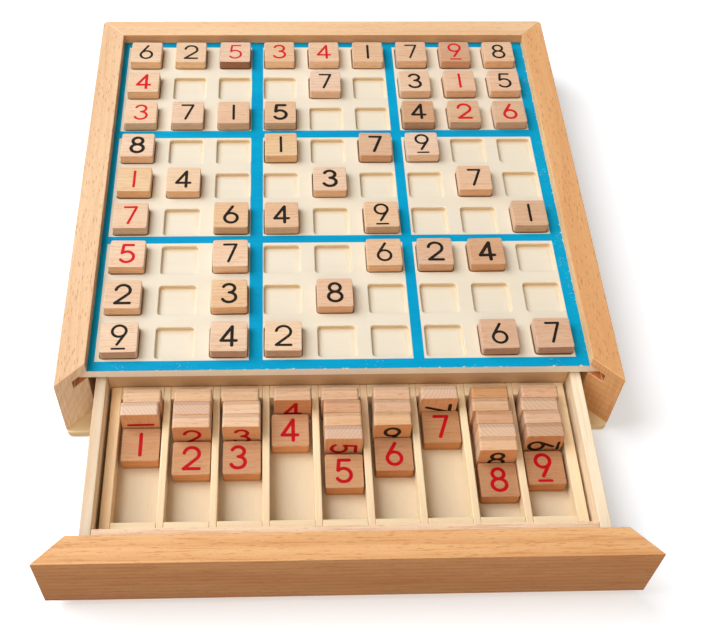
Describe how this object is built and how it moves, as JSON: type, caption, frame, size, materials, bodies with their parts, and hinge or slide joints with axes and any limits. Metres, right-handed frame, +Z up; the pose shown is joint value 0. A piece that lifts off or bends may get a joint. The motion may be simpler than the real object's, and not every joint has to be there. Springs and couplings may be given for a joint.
{
  "type": "number placement puzzle board",
  "caption": "Square wooden board with shallow pockets for loose number tiles, blue lines between its blocks, and a pull-out drawer with a sorting lane for each number.",
  "frame": {"origin": "centre of the square frame, on the underside of the base panel", "axes": "+Z up, +Y towards the closed back rail and away from the drawer's front, +X to the right of a player at the drawer"},
  "size_m": [0.3, 0.399, 0.0472],
  "materials": {
    "frame_beech": "sanded beech, clear satin",
    "drawer_beech": "sanded beech, clear satin",
    "pale_ply": "thin pale plywood, sanded",
    "pale_pine": "pale softwood, sanded",
    "painted_board": "pale board with blue painted lines, satin",
    "tile_beech": "sanded beech with printed red or black numbers"
  },
  "bodies": {
    "frame": {"base_panel": "pale_ply", "left_rail": "frame_beech", "right_rail": "frame_beech", "back_rail": "frame_beech", "board_panel": "painted_board"},
    "drawer": {"drawer_front": "drawer_beech", "drawer_front_wall": "drawer_beech", "drawer_back_wall": "drawer_beech", "drawer_left_side": "pale_pine", "drawer_right_side": "pale_pine", "drawer_floor": "pale_ply", "sorting_tray": "pale_pine"},
    "tile_r1c1": {"tile_r1c1": "tile_beech"},
    "tile_r1c2": {"tile_r1c2": "tile_beech"},
    "tile_r1c3": {"tile_r1c3": "tile_beech"},
    "tile_r1c4": {"tile_r1c4": "tile_beech"},
    "tile_r1c5": {"tile_r1c5": "tile_beech"},
    "tile_r1c6": {"tile_r1c6": "tile_beech"},
    "tile_r1c7": {"tile_r1c7": "tile_beech"},
    "tile_r1c8": {"tile_r1c8": "tile_beech"},
    "tile_r1c9": {"tile_r1c9": "tile_beech"},
    "tile_r2c1": {"tile_r2c1": "tile_beech"},
    "tile_r2c5": {"tile_r2c5": "tile_beech"},
    "tile_r2c7": {"tile_r2c7": "tile_beech"},
    "tile_r2c8": {"tile_r2c8": "tile_beech"},
    "tile_r2c9": {"tile_r2c9": "tile_beech"},
    "tile_r3c1": {"tile_r3c1": "tile_beech"},
    "tile_r3c2": {"tile_r3c2": "tile_beech"},
    "tile_r3c3": {"tile_r3c3": "tile_beech"},
    "tile_r3c4": {"tile_r3c4": "tile_beech"},
    "tile_r3c7": {"tile_r3c7": "tile_beech"},
    "tile_r3c8": {"tile_r3c8": "tile_beech"},
    "tile_r3c9": {"tile_r3c9": "tile_beech"},
    "tile_r4c1": {"tile_r4c1": "tile_beech"},
    "tile_r4c4": {"tile_r4c4": "tile_beech"},
    "tile_r4c6": {"tile_r4c6": "tile_beech"},
    "tile_r4c7": {"tile_r4c7": "tile_beech"},
    "tile_r5c1": {"tile_r5c1": "tile_beech"},
    "tile_r5c2": {"tile_r5c2": "tile_beech"},
    "tile_r5c5": {"tile_r5c5": "tile_beech"},
    "tile_r5c8": {"tile_r5c8": "tile_beech"},
    "tile_r6c1": {"tile_r6c1": "tile_beech"},
    "tile_r6c3": {"tile_r6c3": "tile_beech"},
    "tile_r6c4": {"tile_r6c4": "tile_beech"},
    "tile_r6c6": {"tile_r6c6": "tile_beech"},
    "tile_r6c9": {"tile_r6c9": "tile_beech"},
    "tile_r7c1": {"tile_r7c1": "tile_beech"},
    "tile_r7c3": {"tile_r7c3": "tile_beech"},
    "tile_r7c6": {"tile_r7c6": "tile_beech"},
    "tile_r7c7": {"tile_r7c7": "tile_beech"},
    "tile_r7c8": {"tile_r7c8": "tile_beech"},
    "tile_r8c1": {"tile_r8c1": "tile_beech"},
    "tile_r8c3": {"tile_r8c3": "tile_beech"},
    "tile_r8c5": {"tile_r8c5": "tile_beech"},
    "tile_r9c1": {"tile_r9c1": "tile_beech"},
    "tile_r9c3": {"tile_r9c3": "tile_beech"},
    "tile_r9c4": {"tile_r9c4": "tile_beech"},
    "tile_r9c8": {"tile_r9c8": "tile_beech"},
    "tile_r9c9": {"tile_r9c9": "tile_beech"}
  },
  "joints": [
    {"name": "drawer_slide", "type": "slide", "parent": "frame", "child": "drawer", "axis": [0, -1, 0], "range_m": [-0.0986, 0]},
    {"name": "lift_r1c1", "type": "slide", "parent": "frame", "child": "tile_r1c1", "axis": [0, 0, 1], "range_m": [0, 0.03]},
    {"name": "lift_r1c2", "type": "slide", "parent": "frame", "child": "tile_r1c2", "axis": [0, 0, 1], "range_m": [0, 0.03]},
    {"name": "lift_r1c3", "type": "slide", "parent": "frame", "child": "tile_r1c3", "axis": [0, 0, 1], "range_m": [0, 0.03]},
    {"name": "lift_r1c4", "type": "slide", "parent": "frame", "child": "tile_r1c4", "axis": [0, 0, 1], "range_m": [0, 0.03]},
    {"name": "lift_r1c5", "type": "slide", "parent": "frame", "child": "tile_r1c5", "axis": [0, 0, 1], "range_m": [0, 0.03]},
    {"name": "lift_r1c6", "type": "slide", "parent": "frame", "child": "tile_r1c6", "axis": [0, 0, 1], "range_m": [0, 0.03]},
    {"name": "lift_r1c7", "type": "slide", "parent": "frame", "child": "tile_r1c7", "axis": [0, 0, 1], "range_m": [0, 0.03]},
    {"name": "lift_r1c8", "type": "slide", "parent": "frame", "child": "tile_r1c8", "axis": [0, 0, 1], "range_m": [0, 0.03]},
    {"name": "lift_r1c9", "type": "slide", "parent": "frame", "child": "tile_r1c9", "axis": [0, 0, 1], "range_m": [0, 0.03]},
    {"name": "lift_r2c1", "type": "slide", "parent": "frame", "child": "tile_r2c1", "axis": [0, 0, 1], "range_m": [0, 0.03]},
    {"name": "lift_r2c5", "type": "slide", "parent": "frame", "child": "tile_r2c5", "axis": [0, 0, 1], "range_m": [0, 0.03]},
    {"name": "lift_r2c7", "type": "slide", "parent": "frame", "child": "tile_r2c7", "axis": [0, 0, 1], "range_m": [0, 0.03]},
    {"name": "lift_r2c8", "type": "slide", "parent": "frame", "child": "tile_r2c8", "axis": [0, 0, 1], "range_m": [0, 0.03]},
    {"name": "lift_r2c9", "type": "slide", "parent": "frame", "child": "tile_r2c9", "axis": [0, 0, 1], "range_m": [0, 0.03]},
    {"name": "lift_r3c1", "type": "slide", "parent": "frame", "child": "tile_r3c1", "axis": [0, 0, 1], "range_m": [0, 0.03]},
    {"name": "lift_r3c2", "type": "slide", "parent": "frame", "child": "tile_r3c2", "axis": [0, 0, 1], "range_m": [0, 0.03]},
    {"name": "lift_r3c3", "type": "slide", "parent": "frame", "child": "tile_r3c3", "axis": [0, 0, 1], "range_m": [0, 0.03]},
    {"name": "lift_r3c4", "type": "slide", "parent": "frame", "child": "tile_r3c4", "axis": [0, 0, 1], "range_m": [0, 0.03]},
    {"name": "lift_r3c7", "type": "slide", "parent": "frame", "child": "tile_r3c7", "axis": [0, 0, 1], "range_m": [0, 0.03]},
    {"name": "lift_r3c8", "type": "slide", "parent": "frame", "child": "tile_r3c8", "axis": [0, 0, 1], "range_m": [0, 0.03]},
    {"name": "lift_r3c9", "type": "slide", "parent": "frame", "child": "tile_r3c9", "axis": [0, 0, 1], "range_m": [0, 0.03]},
    {"name": "lift_r4c1", "type": "slide", "parent": "frame", "child": "tile_r4c1", "axis": [0, 0, 1], "range_m": [0, 0.03]},
    {"name": "lift_r4c4", "type": "slide", "parent": "frame", "child": "tile_r4c4", "axis": [0, 0, 1], "range_m": [0, 0.03]},
    {"name": "lift_r4c6", "type": "slide", "parent": "frame", "child": "tile_r4c6", "axis": [0, 0, 1], "range_m": [0, 0.03]},
    {"name": "lift_r4c7", "type": "slide", "parent": "frame", "child": "tile_r4c7", "axis": [0, 0, 1], "range_m": [0, 0.03]},
    {"name": "lift_r5c1", "type": "slide", "parent": "frame", "child": "tile_r5c1", "axis": [0, 0, 1], "range_m": [0, 0.03]},
    {"name": "lift_r5c2", "type": "slide", "parent": "frame", "child": "tile_r5c2", "axis": [0, 0, 1], "range_m": [0, 0.03]},
    {"name": "lift_r5c5", "type": "slide", "parent": "frame", "child": "tile_r5c5", "axis": [0, 0, 1], "range_m": [0, 0.03]},
    {"name": "lift_r5c8", "type": "slide", "parent": "frame", "child": "tile_r5c8", "axis": [0, 0, 1], "range_m": [0, 0.03]},
    {"name": "lift_r6c1", "type": "slide", "parent": "frame", "child": "tile_r6c1", "axis": [0, 0, 1], "range_m": [0, 0.03]},
    {"name": "lift_r6c3", "type": "slide", "parent": "frame", "child": "tile_r6c3", "axis": [0, 0, 1], "range_m": [0, 0.03]},
    {"name": "lift_r6c4", "type": "slide", "parent": "frame", "child": "tile_r6c4", "axis": [0, 0, 1], "range_m": [0, 0.03]},
    {"name": "lift_r6c6", "type": "slide", "parent": "frame", "child": "tile_r6c6", "axis": [0, 0, 1], "range_m": [0, 0.03]},
    {"name": "lift_r6c9", "type": "slide", "parent": "frame", "child": "tile_r6c9", "axis": [0, 0, 1], "range_m": [0, 0.03]},
    {"name": "lift_r7c1", "type": "slide", "parent": "frame", "child": "tile_r7c1", "axis": [0, 0, 1], "range_m": [0, 0.03]},
    {"name": "lift_r7c3", "type": "slide", "parent": "frame", "child": "tile_r7c3", "axis": [0, 0, 1], "range_m": [0, 0.03]},
    {"name": "lift_r7c6", "type": "slide", "parent": "frame", "child": "tile_r7c6", "axis": [0, 0, 1], "range_m": [0, 0.03]},
    {"name": "lift_r7c7", "type": "slide", "parent": "frame", "child": "tile_r7c7", "axis": [0, 0, 1], "range_m": [0, 0.03]},
    {"name": "lift_r7c8", "type": "slide", "parent": "frame", "child": "tile_r7c8", "axis": [0, 0, 1], "range_m": [0, 0.03]},
    {"name": "lift_r8c1", "type": "slide", "parent": "frame", "child": "tile_r8c1", "axis": [0, 0, 1], "range_m": [0, 0.03]},
    {"name": "lift_r8c3", "type": "slide", "parent": "frame", "child": "tile_r8c3", "axis": [0, 0, 1], "range_m": [0, 0.03]},
    {"name": "lift_r8c5", "type": "slide", "parent": "frame", "child": "tile_r8c5", "axis": [0, 0, 1], "range_m": [0, 0.03]},
    {"name": "lift_r9c1", "type": "slide", "parent": "frame", "child": "tile_r9c1", "axis": [0, 0, 1], "range_m": [0, 0.03]},
    {"name": "lift_r9c3", "type": "slide", "parent": "frame", "child": "tile_r9c3", "axis": [0, 0, 1], "range_m": [0, 0.03]},
    {"name": "lift_r9c4", "type": "slide", "parent": "frame", "child": "tile_r9c4", "axis": [0, 0, 1], "range_m": [0, 0.03]},
    {"name": "lift_r9c8", "type": "slide", "parent": "frame", "child": "tile_r9c8", "axis": [0, 0, 1], "range_m": [0, 0.03]},
    {"name": "lift_r9c9", "type": "slide", "parent": "frame", "child": "tile_r9c9", "axis": [0, 0, 1], "range_m": [0, 0.03]}
  ]
}
